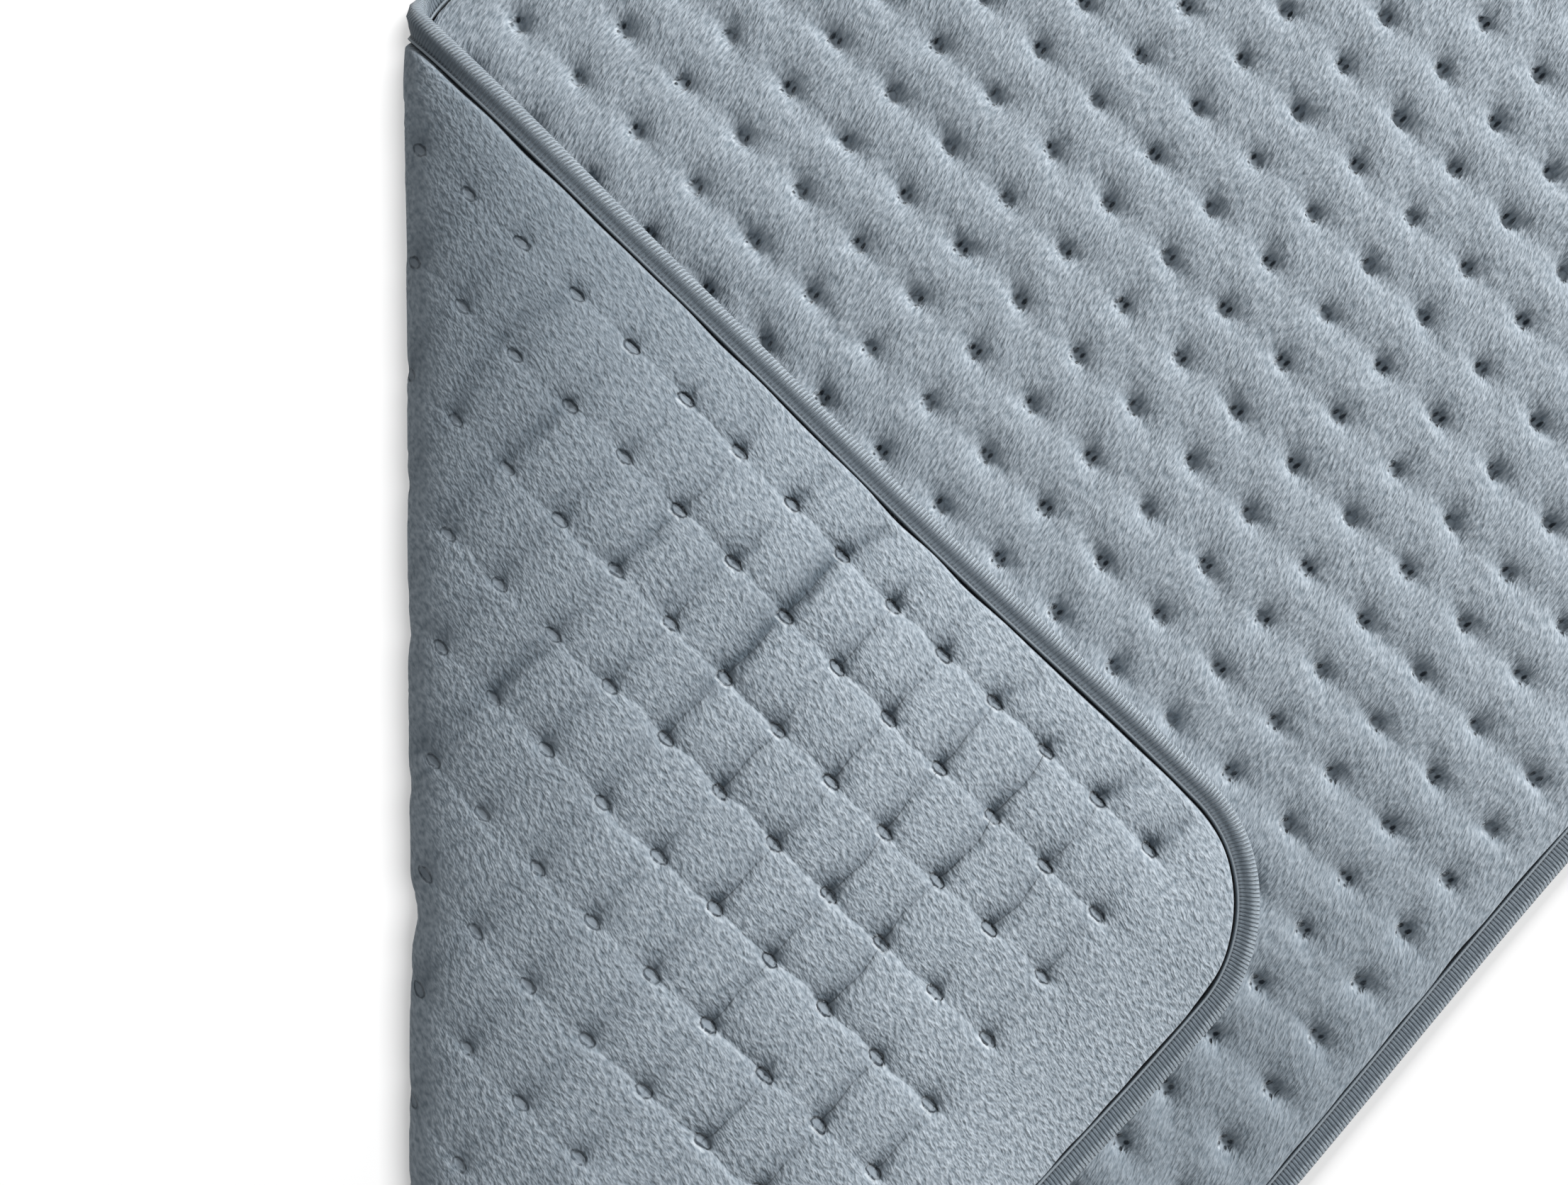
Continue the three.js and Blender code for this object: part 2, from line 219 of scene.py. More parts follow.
def folded(x, y, z):
    """Carries flat places, in mm, to where they lie, in metres."""
    flap = smooth(20, 90, BEND_START - from_corner(x, y))
    drift = DRIFT + FLAP_DRIFT * flap
    x = x + drift * waves(x, y, DRIFT_LENGTH, 31)
    y = y + drift * waves(x, y, DRIFT_LENGTH, 32)
    beyond = BEND_START - from_corner(x, y)
    place = x * ALONG_FOLD[0] + y * ALONG_FOLD[1]
    turn = np.interp(beyond, FOLD_RUN, FOLD_TURN)
    out = np.interp(beyond, FOLD_RUN, FOLD_OUT)
    up = np.interp(beyond, FOLD_RUN, FOLD_UP)
    fuller = np.interp(place, *zip(*FOLD_FULLNESS))
    steady = np.interp(place, *zip(*STEADY_FULLNESS))
    dents = (fuller - steady) * smooth(DENT_REACH, 14, beyond)
    out = out - smooth(0, 12, beyond) * (steady * smooth(STEADY_REACH, 12, beyond) + dents)
    height = z - NEUTRAL
    out = out + height * np.sin(turn)
    up = up + height * np.cos(turn)
    inset = inset_of(x, y)
    sag = smooth(RIM_SAG_REACH, 6, inset) * smooth(RIM_SAG_START, RIM_SAG_START + 60, beyond)
    up = up - RIM_SAG * sag
    up = up + FLAP_SWELL * flap * smooth(8, 60, inset) * waves(x, y, SWELL_LENGTH, 33)
    on_flap = beyond > 0
    shift = np.where(on_flap, out + beyond, 0)
    placed = np.stack([
        x + shift * ACROSS_FOLD[0] - PAD_WIDTH,
        y + shift * ACROSS_FOLD[1] - PAD_LENGTH,
        np.where(on_flap, up, z),
    ], axis=-1) * MM
    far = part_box("edge_binding")[1]
    return placed + np.array([far.x, far.y, 0.0])


# ------------------------------------------------------------ the quilted faces

# Each tuft, cell and valley has its own small differences, two places past the quilt on every side.
SHAPE = (ROWS + 4, COLUMNS + 4)
TUFT_DEPTH = RANDOM.uniform(0.82, 1.12, SHAPE)
PIT_TURN = RANDOM.uniform(0, 2 * math.pi, SHAPE)
PIT_OVAL = RANDOM.uniform(0.05, 0.3, SHAPE)
PUFF_FULLNESS = RANDOM.uniform(-0.35, 0.3, SHAPE)
VALLEY_STRENGTH = RANDOM.uniform(0.0, 1.0, (2,) + SHAPE)
for (tuft_column, tuft_row), strength in STRONG_VALLEYS.items():
    VALLEY_STRENGTH[0, tuft_row + 2, tuft_column + 1] = strength
SEAM_BOW = RANDOM.uniform(-1, 1, (2,) + SHAPE)


def picked(table, row, column):
    return table[np.clip(row + 2, 0, ROWS + 3), np.clip(column + 2, 0, COLUMNS + 3)]


def valley_bow(face, index, row, column, run):
    """How far a valley strays from the straight line between its tufts."""
    arch = np.sin(math.pi * run)
    bow = face["bow"] * picked(SEAM_BOW[index], row, column) * arch
    return bow + 0.3 * np.sin(3 * math.pi * run + 9 * picked(VALLEY_STRENGTH[index], row, column)) * arch


def each_valley(x, y, face):
    """For the valleys along x and along y: distance from the nearest, its strength here, and its figures."""
    column, row = (x - FIRST_X) / PITCH_X, (y - FIRST_Y) / PITCH_Y
    near_column, near_row = np.round(column).astype(int), np.round(row).astype(int)
    cell_column, cell_row = np.floor(column).astype(int), np.floor(row).astype(int)
    over_x = np.maximum(np.abs(column - (COLUMNS - 1) / 2) - (COLUMNS - 1) / 2, 0) * PITCH_X
    over_y = np.maximum(np.abs(row - (ROWS - 1) / 2) - (ROWS - 1) / 2, 0) * PITCH_Y
    inside = 1 - smooth(0, 9, np.maximum(over_x, over_y))
    for index, (across, run, r, c, pitch, name) in enumerate((
        (row - near_row, column - cell_column, near_row, cell_column, PITCH_Y, "along_x"),
        (column - near_column, row - cell_row, cell_row, near_column, PITCH_X, "along_y"),
    )):
        _, _, _, least, start, _ = face[name]
        strength = least + (1.25 - least) * picked(VALLEY_STRENGTH[index], r, c)
        strength = strength * (start + (1 - start) * run) * (0.78 + 0.22 * np.cos(2 * math.pi * run))
        yield across * pitch - valley_bow(face, index, r, c, run), strength * inside, face[name]


def valleys(x, y, face):
    """The valleys from tuft to tuft: how deep they are, and how much painted shade lies along them."""
    low, valley_shade = np.zeros_like(x), np.zeros_like(x)
    for off, strength, (depth, lower, higher, _, _, valley_shading) in each_valley(x, y, face):
        nearness = np.exp(0.24 - 1.1 * np.sqrt((off / np.where(off < 0, lower, higher)) ** 2 + 0.05))
        low += depth * strength * nearness
        valley_shade += valley_shading * strength * nearness
    return low, valley_shade


def soft_valley_shade(x, y):
    """The same painted shade along the valleys of the turned-up face, wider and softer close to the bend."""
    off, strength, _ = next(each_valley(x, y, UNDER))
    wide = np.exp(-((off - 1.0) / 4.2) ** 2) * np.clip(0.25 + strength, 0, 1)
    return valleys(x, y, UNDER)[1] * (1 - 0.7 * calm(x, y)) + 0.34 * calm(x, y) * wide


def quilt(x, y, face):
    """How far the quilt lies below the top of its puffs."""
    column, row = (x - FIRST_X) / PITCH_X, (y - FIRST_Y) / PITCH_Y
    near_column, near_row = np.round(column).astype(int), np.round(row).astype(int)
    low, _ = valleys(x, y, face)
    axis = math.radians(face["long_deg"])
    for step_row in (-1, 0, 1):
        for step_column in (-1, 0, 1):
            c, r = near_column + step_column, near_row + step_row
            real = (c >= 0) & (c < COLUMNS) & (r >= 0) & (r < ROWS)
            off_x, off_y = x - FIRST_X - c * PITCH_X, y - FIRST_Y - r * PITCH_Y
            off_x = np.where(off_x > 0, off_x * face["steep_x"], off_x)
            off_y = np.where(off_y < 0, off_y * face["steep_y"], off_y)
            lengthwise = (off_x * math.cos(axis) + off_y * math.sin(axis)) / math.sqrt(face["long"])
            sideways = (off_y * math.cos(axis) - off_x * math.sin(axis)) * math.sqrt(face["long"])
            away = np.hypot(np.hypot(lengthwise, sideways), 1.0)
            angle = np.arctan2(off_y, off_x) - picked(PIT_TURN, r, c)
            lobes = np.cos(2 * angle) + 0.5 * np.cos(3 * angle + 1)
            away = away * (1 + picked(PIT_OVAL, r, c) * lobes * smooth(1, 4, away))
            pit = face["tuft"] * np.exp(-away / face["reach"])
            low += np.where(real, pit * picked(TUFT_DEPTH, r, c), 0)
    puff = picked(PUFF_FULLNESS, np.floor(row).astype(int), np.floor(column).astype(int))
    return low - puff * np.abs(np.sin(math.pi * column) * np.sin(math.pi * row))


def creased(x, y):
    """How deep the listed creases are."""
    low = np.zeros_like(x)
    for start, end, depth_start, depth_end, half_width in CREASES:
        a = np.array([FIRST_X + start[0] * PITCH_X, FIRST_Y + start[1] * PITCH_Y])
        b = np.array([FIRST_X + end[0] * PITCH_X, FIRST_Y + end[1] * PITCH_Y])
        step = b - a
        length = np.hypot(*step)
        along = ((x - a[0]) * step[0] + (y - a[1]) * step[1]) / length
        off = ((x - a[0]) * step[1] - (y - a[1]) * step[0]) / length
        share = np.clip(along / length, 0, 1)
        off = off + 0.7 * np.sin(along * math.pi / length * 2 + start[1]) * np.sin(share * math.pi)
        # One bank is gentle and the other steep, as where one puff has slid over the next.
        nearness = np.exp(-np.abs(off) / np.where(off < 0, 3.2, 0.6) / half_width)
        depth = depth_start + (depth_end - depth_start) * share
        ends = smooth(-3, 1, along) * smooth(length + 3, length - 1, along)
        low = np.maximum(low, depth * ends * nearness)
    return low


def by_the_bend(x, y):
    """Nearness to the bend on the turned-up part, from 0 to 1; it reaches further in at its upper end."""
    beyond = BEND_START - from_corner(x, y)
    place = x * ALONG_FOLD[0] + y * ALONG_FOLD[1]
    upper_end = smooth(60, 215, place)
    return smooth(0, 40, beyond) * smooth(165 + 75 * upper_end, 20, beyond) * (0.42 + 0.7 * upper_end)


def calm(x, y):
    """Close to the bend, where the valleys are soft and wide, from 0 to 1."""
    return smooth(105, 50, BEND_START - from_corner(x, y))


def painted_slope_shade(x, y):
    """How much painted shade darkens the plush, from 0 to 1: by the bend, and low on the right."""
    return np.clip(by_the_bend(x, y) + 0.7 * smooth(300, 400, x) * smooth(480, 320, y), 0, 1)


def rim_height(inset):
    return np.interp(inset, *zip(*RIM_PROFILE))


def upper_height(x, y):
    """Height of the upper face above the underside."""
    beyond = BEND_START - from_corner(x, y)
    hidden = smooth(-2, 12, beyond)
    low = quilt(x, y, UPPER) * (1 - 0.75 * hidden)
    level = PUFF_TOP - hidden * 1.2
    inset = inside_lip(x, y)
    quilted = smooth(*RIM_TO_QUILT, inset)
    field = level - low + 0.25 * waves(x, y, 60, 41)
    return rim_height(inset) * (1 - quilted) + field * quilted


def under_height(x, y):
    """Height of the underside above the surface: almost level where the pad rests, and quilted where it
    is turned up."""
    beyond = BEND_START - from_corner(x, y)
    shown = smooth(0, 14, beyond)
    out = smooth(4, 16, beyond)
    # Round the bend the cloth is stretched, and its quilting is flatter.
    on_the_bend = smooth(0, 6, beyond) * smooth(36, 24, beyond)
    low = quilt(x, y, UNDER) - 0.6 * calm(x, y) * valleys(x, y, UNDER)[0]
    low = low * (1 - 0.65 * by_the_bend(x, y)) * (1 - 0.5 * on_the_bend)
    inset = inside_lip(x, y)
    quilted = smooth(*RIM_TO_QUILT, inset)
    resting = 0.05 + 0.3 * np.maximum(low - 0.3, 0)
    level = (PUFF_TOP - EDGE_THICKNESS) * out
    turned = low + creased(x, y) - level - 0.2 * out * waves(x, y, 50, 42)
    field = resting * (1 - shown) + turned * shown
    edge = EDGE_THICKNESS - rim_height(inset)
    edge = np.where(inset > 8.7, edge * out + (1 - out) * np.maximum(edge, 0.05), edge)
    return edge * (1 - quilted) + field * quilted


# ------------------------------------------------------------ meshes


def make_object(name, vertices, faces, material, smooth_faces=True):
    mesh = bpy.data.meshes.new(name)
    faces = np.asarray(faces, np.int32)
    mesh.vertices.add(len(vertices))
    mesh.vertices.foreach_set("co", np.asarray(vertices, np.float32).ravel())
    mesh.loops.add(faces.size)
    mesh.loops.foreach_set("vertex_index", faces.ravel())
    mesh.polygons.add(len(faces))
    mesh.polygons.foreach_set("loop_start", np.arange(len(faces), dtype=np.int32) * faces.shape[1])
    mesh.polygons.foreach_set("loop_total", np.full(len(faces), faces.shape[1], np.int32))
    mesh.update(calc_edges=True)
    mesh.validate()
    mesh.polygons.foreach_set("use_smooth", np.full(len(mesh.polygons), smooth_faces))
    mesh.materials.append(material)
    obj = bpy.data.objects.new(name, mesh)
    bpy.context.scene.collection.objects.link(obj)
    return obj


def store(obj, name, values):
    attribute = obj.data.attributes.new(name, "FLOAT_VECTOR", "POINT")
    attribute.data.foreach_set("vector", np.asarray(values, np.float32).ravel())


def is_under_flap(x, y, margin):
    """Whether the flap covers this place of the upper face, by `margin` at least."""
    across = from_corner(x, y)
    shift = 2 * (FOLD_DISTANCE - across)
    mirrored = inset_of(x + shift * ACROSS_FOLD[0], y + shift * ACROSS_FOLD[1])
    return (mirrored > margin) & (across > FOLD_DISTANCE)


# How closely a face's places are set: rings round each tuft as (radius, count), and the spacing between
# tufts.
FINEST = (((1.2, 8), (2.0, 12), (3.0, 12), (4.3, 14), (6.0, 16)), 2.15)
CRISP = (((1.2, 8), (2.0, 12), (3.0, 12), (4.3, 14), (6.0, 16)), 2.6)
FINE = (((1.5, 8), (3.0, 10), (5.0, 12)), 3.1)
ROUGH = ((), 5.6)
RIM_SPACING = 2.1


def seam_points(face):
    """Places along the valleys of a crisp face."""
    points = []
    row, column = (grid.ravel() for grid in np.meshgrid(np.arange(ROWS), np.arange(COLUMNS), indexing="ij"))
    for run in np.arange(0.3, 0.75, 0.1):
        bow_x, bow_y = (valley_bow(face, index, row, column, run) for index in (0, 1))
        for off in (-1.1, 0.0, 0.7):
            along_x = FIRST_X + (column + run) * PITCH_X, FIRST_Y + row * PITCH_Y + bow_x - off
            along_y = FIRST_X + column * PITCH_X + bow_y + off, FIRST_Y + (row + run) * PITCH_Y
            points += [np.stack(along_x, axis=-1), np.stack(along_y, axis=-1)]
    points = np.concatenate(points)
    x, y = points.T
    shown = BEND_START - from_corner(x, y) > 0
    within = (x < FIRST_X + (COLUMNS - 1) * PITCH_X) & (y < FIRST_Y + (ROWS - 1) * PITCH_Y)
    return points[shown & within]


def face_points(kinds, kind_of, seams=None):
    """Flat places of one face; `kind_of` says which of `kinds` each place belongs to."""
    points = [] if seams is None else [seams]
    column, row = (grid.ravel() for grid in np.meshgrid(np.arange(COLUMNS), np.arange(ROWS)))
    tuft_x, tuft_y = FIRST_X + column * PITCH_X, FIRST_Y + row * PITCH_Y
    points.append(np.stack([tuft_x, tuft_y], axis=-1))
    for index, (rings, spacing) in enumerate(kinds):
        chosen = kind_of(tuft_x, tuft_y) == index
        for radius, count in rings:
            angle = np.arange(count) * 2 * math.pi / count + radius
            ring_x = tuft_x[chosen, None] + radius * np.cos(angle)
            ring_y = tuft_y[chosen, None] + radius * np.sin(angle)
            points.append(np.stack([ring_x.ravel(), ring_y.ravel()], axis=-1))
        reach = rings[-1][0] + spacing * 0.55 if rings else spacing * 0.4
        step_x = PITCH_X / round(PITCH_X / spacing)
        step_y = PITCH_Y / round(PITCH_Y / spacing)
        xs = np.arange(FIRST_X % step_x, PAD_WIDTH, step_x)
        ys = np.arange(FIRST_Y % step_y, PAD_LENGTH, step_y)
        x, y = (grid.ravel() for grid in np.meshgrid(xs, ys))
        near_x = FIRST_X + np.clip(np.round((x - FIRST_X) / PITCH_X), 0, COLUMNS - 1) * PITCH_X
        near_y = FIRST_Y + np.clip(np.round((y - FIRST_Y) / PITCH_Y), 0, ROWS - 1) * PITCH_Y
        keep = (kind_of(x, y) == index) & (np.hypot(x - near_x, y - near_y) > reach)
        if seams is not None and index == 0:
            in_cells = (x > FIRST_X) & (x < FIRST_X + (COLUMNS - 1) * PITCH_X) & (y > FIRST_Y)
            by_seam = (np.abs(x - near_x) < 2.4) | (np.abs(y - near_y) < 2.4)
            keep &= ~(in_cells & by_seam)
        points.append(np.stack([x[keep], y[keep]], axis=-1))
    points = np.concatenate(points)
    inside = inset_of(points[:, 0], points[:, 1])
    return points[inside > RIM_PROFILE[-1][0] + 1.0]


def triangulated(loop, others):
    """Delaunay triangles inside `loop`, whose places come first."""
    places = np.concatenate([loop, others])
    ring = list(range(len(loop)))
    found = delaunay_2d_cdt([Vector(p) for p in places], [], [ring], 1, 1e-7)
    verts = np.array([tuple(v) for v in found[0]])
    faces = np.array([f for f in found[2] if len(f) == 3], np.int32)
    if len(verts) != len(places):
        order = np.array([o[0] for o in found[3]])
        faces = order[faces]
    a, b, c = (places[faces[:, k]] for k in range(3))
    area = (b[:, 0] - a[:, 0]) * (c[:, 1] - a[:, 1]) - (b[:, 1] - a[:, 1]) * (c[:, 0] - a[:, 0])
    faces[area < 0] = faces[area < 0][:, ::-1]
    return places, faces


def build_pad(material):
    middles, outward, _, _ = rim_stations(RIM_SPACING)

    def rim_points(inset):
        ring = middles + outward * (CORNER_RADIUS - inset)
        astray = inside_lip(ring[:, 0], ring[:, 1]) - inset
        return middles + outward * (CORNER_RADIUS - inset + astray)[:, None]

    loop = rim_points(RIM_PROFILE[0][0])

    def kind_above(x, y):
        hidden = (BEND_START - from_corner(x, y) > 6) | is_under_flap(x, y, 16)
        by_the_fold = (x + y < 860) & (y - x < 385)
        return np.where(hidden, 2, np.where(by_the_fold, 0, 1))

    def kind_below(x, y):
        return np.where(BEND_START - from_corner(x, y) > -8, 0, 2)

    def face(kind_of, kinds, seams=None):
        kept = []
        for inset, _ in RIM_PROFILE[1:]:
            ring = rim_points(inset)
            showing = kind_of(ring[:, 0], ring[:, 1]) < 2
            kept.append(ring[showing | (np.arange(len(ring)) % 4 == 0)])
        return triangulated(loop, np.concatenate(kept + [face_points(kinds, kind_of, seams)]))

    top, top_faces = face(kind_above, (FINEST, FINE, ROUGH))
    low, low_faces = face(kind_below, (CRISP, FINE, ROUGH), seam_points(UNDER))
    flat = np.concatenate([
        np.c_[top, upper_height(top[:, 0], top[:, 1])],
        np.c_[low, under_height(low[:, 0], low[:, 1])],
    ])
    here = np.arange(len(loop))
    following = np.roll(here, -1)
    wall = np.concatenate([
        np.stack([here, here + len(top), following], axis=-1),
        np.stack([following, here + len(top), following + len(top)], axis=-1),
    ])
    faces = np.concatenate([top_faces, low_faces[:, ::-1] + len(top), wall])
    pad = make_object("plush_pad", folded(flat[:, 0], flat[:, 1], flat[:, 2]), faces, material)
    side = np.r_[np.zeros(len(top)), np.ones(len(low))]
    store(pad, "flat", np.c_[flat[:, :2], side])
    turned_up = smooth(0, 20, BEND_START - from_corner(low[:, 0], low[:, 1]))
    still = calm(low[:, 0], low[:, 1])
    # Kept for the material: painted shade along the valleys and creases, painted shade where the surface
    # should turn from the light, and painted shade at the lip by the binding.
    valley_shade = np.r_[
        valleys(top[:, 0], top[:, 1], UPPER)[1],
        (soft_valley_shade(low[:, 0], low[:, 1]) + 0.75 * creased(low[:, 0], low[:, 1])) * turned_up,
    ]
    by_cord = smooth(9.3, 8.9, inside_lip(flat[:, 0], flat[:, 1]))
    slope_shade = np.r_[painted_slope_shade(top[:, 0], top[:, 1]), painted_slope_shade(low[:, 0], low[:, 1])]
    store(pad, "painted_shade", np.c_[np.clip(valley_shade, 0, 1), slope_shade, by_cord])
    store(pad, "calm", np.c_[np.r_[np.zeros(len(top)), still], np.zeros((len(flat), 2))])
    # Each valley's distance, as the sine and cosine of its share of the pitch, and its strength.
    both_faces = zip(each_valley(top[:, 0], top[:, 1], UPPER), each_valley(low[:, 0], low[:, 1], UNDER))
    for name, pitch, (above, beneath) in zip(("valley_x", "valley_y"), (PITCH_Y, PITCH_X), both_faces):
        share = np.r_[above[0], beneath[0]] * 2 * math.pi / pitch
        strength = np.r_[0 * above[1], beneath[1] * turned_up * (1 - 0.9 * still)]
        store(pad, name, np.c_[np.sin(share), np.cos(share), strength])
    return pad


# Half of the binding's section, from its inner edge to the outline: inset, height above the middle, and
# how much of the ribs' relief it takes. The other half is the same, pressed flat where it rests on the
# surface.
BINDING_HALF = (
    (8.3, 1.3, 0.0), (7.85, 2.6, 0.0), (7.0, 1.75, 0.1), (5.4, 2.25, 0.4), (3.2, 2.85, 0.8),
    (0.9, 1.85, 0.3),
)
BINDING_SECTION = (
    tuple((inset, NEUTRAL + rise, share) for inset, rise, share in BINDING_HALF)
    + ((0.0, NEUTRAL, 0.0),)
    + tuple((inset, NEUTRAL - rise, share) for inset, rise, share in reversed(BINDING_HALF))
)
# The bottom of the channel inside it, out of sight and one station in so many: inset and height.
BINDING_CHANNEL = ((1.5, 1.1), (1.5, 3.9))
CHANNEL_SKIP = 8
RIB_PITCH, RIB_RELIEF, RIB_SLANT, STATIONS_PER_RIB = 1.25, 0.28, 0.1, 3


def build_binding(material):
    middles, outward, run, around = rim_stations(RIB_PITCH / STATIONS_PER_RIB)
    ribs = round(around / RIB_PITCH)
    section = np.array(BINDING_SECTION)
    before, after = np.roll(section, 1, axis=0), np.roll(section, -1, axis=0)
    tangent = (after - before)[:, :2]
    tangent[0] = section[1, :2] - section[0, :2]
    tangent[-1] = section[-1, :2] - section[-2, :2]
    normal = np.stack([tangent[:, 1], -tangent[:, 0]], axis=-1)
    normal /= np.hypot(normal[:, 0], normal[:, 1])[:, None]
    count = len(run)
    rows, places = [], []
    width = 0.0
    rib_size = np.random.default_rng(5).uniform(0.75, 1.2, ribs + 2)
    for index, (inset, height, share) in enumerate(section):
        if index:
            width += math.dist(section[index - 1, :2], section[index, :2])
        phase = run / around * ribs + RIB_SLANT * (width - 8) + 8
        relief = np.cos(2 * math.pi * phase)
        relief = np.where(relief > 0, 0.4 * relief, relief)
        relief = relief * share * RIB_RELIEF * rib_size[np.clip(np.round(phase).astype(int), 0, ribs + 1)]
        moved = inset + normal[index, 0] * relief
        level = height + normal[index, 1] * relief
        xy = middles + outward * (CORNER_RADIUS - moved)[:, None]
        resting = BEND_START - from_corner(xy[:, 0], xy[:, 1]) < 8
        rows.append(np.c_[xy, np.where(resting, np.maximum(level, 0.0), level)])
        places.append(np.c_[run, np.full(count, width), phase])
    coarse = np.arange(0, count, CHANNEL_SKIP)
    for inset, height in BINDING_CHANNEL:
        xy = (middles + outward * (CORNER_RADIUS - inset))[coarse]
        rows.append(np.c_[xy, np.full(len(coarse), height)])
        places.append(np.zeros((len(coarse), 3)))
    starts = np.cumsum([0] + [len(r) for r in rows])
    flat = np.concatenate(rows)
    faces = []
    here = np.arange(count)
    following = np.roll(here, -1)
    for index in range(len(section) - 1):
        a, b = starts[index], starts[index + 1]
        faces.append(np.stack([a + here, b + here, b + following], axis=-1))
        faces.append(np.stack([a + here, b + following, a + following], axis=-1))
    last, inner, outer = starts[len(section) - 1], starts[len(section)], starts[len(section) + 1]
    few = len(coarse)
    c_here = np.arange(few)
    c_following = np.roll(c_here, -1)
    owner = here // CHANNEL_SKIP
    owner_next = np.where(following % CHANNEL_SKIP == 0, (following // CHANNEL_SKIP) % few, owner)
    # Fine loops meet the coarse channel in fans.
    for fine_start, coarse_start, flip in ((last, inner, False), (starts[0], outer, True)):
        fan = np.stack([fine_start + here, coarse_start + owner, fine_start + following], axis=-1)
        jump = owner_next != owner
        step = np.stack([
            fine_start + following[jump], coarse_start + owner[jump], coarse_start + owner_next[jump],
        ], axis=-1)
        both = np.concatenate([fan, step])
        faces.append(both[:, ::-1] if flip else both)
    faces.append(np.stack([inner + c_here, outer + c_here, outer + c_following], axis=-1))
    faces.append(np.stack([inner + c_here, outer + c_following, inner + c_following], axis=-1))
    binding = make_object(
        "overlock_binding", folded(flat[:, 0], flat[:, 1], flat[:, 2]), np.concatenate(faces), material,
    )
    # Both halves look alike, so the width is counted from the nearer edge.
    places = np.concatenate(places)
    places[:, 1] = np.minimum(places[:, 1], width - places[:, 1])
    store(binding, "along", places)
    return binding


# ------------------------------------------------------------ materials


class Nodes:
    """A short way to write a node tree."""

    def __init__(self, name):
        self.material = bpy.data.materials.new(name)
        self.material.use_nodes = True
        self.tree = self.material.node_tree
        self.shader = self.tree.nodes["Principled BSDF"]

    def link(self, source, socket):
        if isinstance(source, (int, float, tuple)):
            socket.default_value = source
        else:
            self.tree.links.new(source, socket)

    def node(self, kind, **settings):
        made = self.tree.nodes.new(kind)
        for key, value in settings.items():
            setattr(made, key, value)
        return made

    def math(self, operation, a, b=0.0, c=0.0, clamp=False):
        made = self.node("ShaderNodeMath", operation=operation, use_clamp=clamp)
        for socket, value in zip(made.inputs, (a, b, c)):
            self.link(value, socket)
        return made.outputs[0]

    def attribute(self, name):
        return self.node("ShaderNodeAttribute", attribute_name=name).outputs["Vector"]

    def split(self, vector):
        made = self.node("ShaderNodeSeparateXYZ")
        self.link(vector, made.inputs[0])
        return made.outputs

    def join(self, x, y, z=0.0):
        made = self.node("ShaderNodeCombineXYZ")
        for socket, value in zip(made.inputs, (x, y, z)):
            self.link(value, socket)
        return made.outputs[0]

    def noise(self, vector, scale=1.0, detail=2.0, roughness=0.5):
        made = self.node("ShaderNodeTexNoise", noise_dimensions="3D")
        self.link(vector, made.inputs["Vector"])
        for key, value in (("Scale", scale), ("Detail", detail), ("Roughness", roughness)):
            made.inputs[key].default_value = value
        return made.outputs["Fac"]

    def ramp(self, value, low, high, to_low=0.0, to_high=1.0, kind="SMOOTHSTEP"):
        made = self.node("ShaderNodeMapRange", interpolation_type=kind)
        items = {"Value": value, "From Min": low, "From Max": high, "To Min": to_low, "To Max": to_high}
        for key, item in items.items():
            self.link(item, made.inputs[key])
        return made.outputs[0]

    def times(self, a, b, clamp=False):
        return self.math("MULTIPLY", a, b, clamp=clamp)

    def plus(self, a, b):
        return self.math("ADD", a, b)

    def minus(self, a, b):
        return self.math("SUBTRACT", a, b)

    def rest(self, share):
        """What is left of 1."""
        return self.minus(1.0, share)

    def swing(self, value, size):
        """A value between 0 and 1, as a swing of `size` about 0."""
        return self.times(self.minus(value, 0.5), size)

    def mix(self, share, a, b):
        made = self.node("ShaderNodeMix", data_type="RGBA")
        for key, item in ((0, share), (6, a), (7, b)):
            self.link(item, made.inputs[key])
        return made.outputs[2]

    def bump(self, height, distance, strength=1.0, after=None):
        made = self.node("ShaderNodeBump")
        made.inputs["Strength"].default_value = strength
        made.inputs["Distance"].default_value = distance
        self.link(height, made.inputs["Height"])
        if after is not None:
            self.link(after, made.inputs["Normal"])
        return made.outputs[0]


# Colours of the plush, as linear RGBA: the pile from its roots to its tips; painted shade where the surface
# should turn from the light and along valleys and creases; a painted highlight on the valleys' crests; for a
# tuft on each face, painted shade in its hollow, its button, painted shade in its holes and thread groove,
# and a painted glint; and painted shade at the lip.
PLUSH = dict(
    root=(0.172, 0.21, 0.244, 1), middle=(0.287, 0.331, 0.374, 1), tip=(0.39, 0.44, 0.488, 1),
    painted_slope_shade=(0.125, 0.158, 0.188, 1), valley_shade=(0.06, 0.082, 0.104, 1), crest_highlight=(0.5, 0.555, 0.6, 1),
    hollow_shade=(0.075, 0.1, 0.125, 1), upper_button=(0.24, 0.28, 0.318, 1), under_button=(0.165, 0.195, 0.225, 1),
    groove_shade=(0.006, 0.012, 0.02, 1), glint=(0.58, 0.63, 0.67, 1), lip=(0.004, 0.007, 0.012, 1),
)
# How many degrees the pile leans off the pad's length on each face.
PILE_LEAN = (8, 17)
# The needle holes of a tuft on the upper face: place, half width, half height, and a number that says
# which tufts have it clearly.
NEEDLE_HOLES = (
    (-1.2, 1.3, 0.75, 1.1, 7), (1.1, 1.3, 0.75, 1.2, 11),
    (-1.2, -1.2, 0.6, 0.6, 5), (1.2, -1.2, 0.65, 0.65, 3),
)


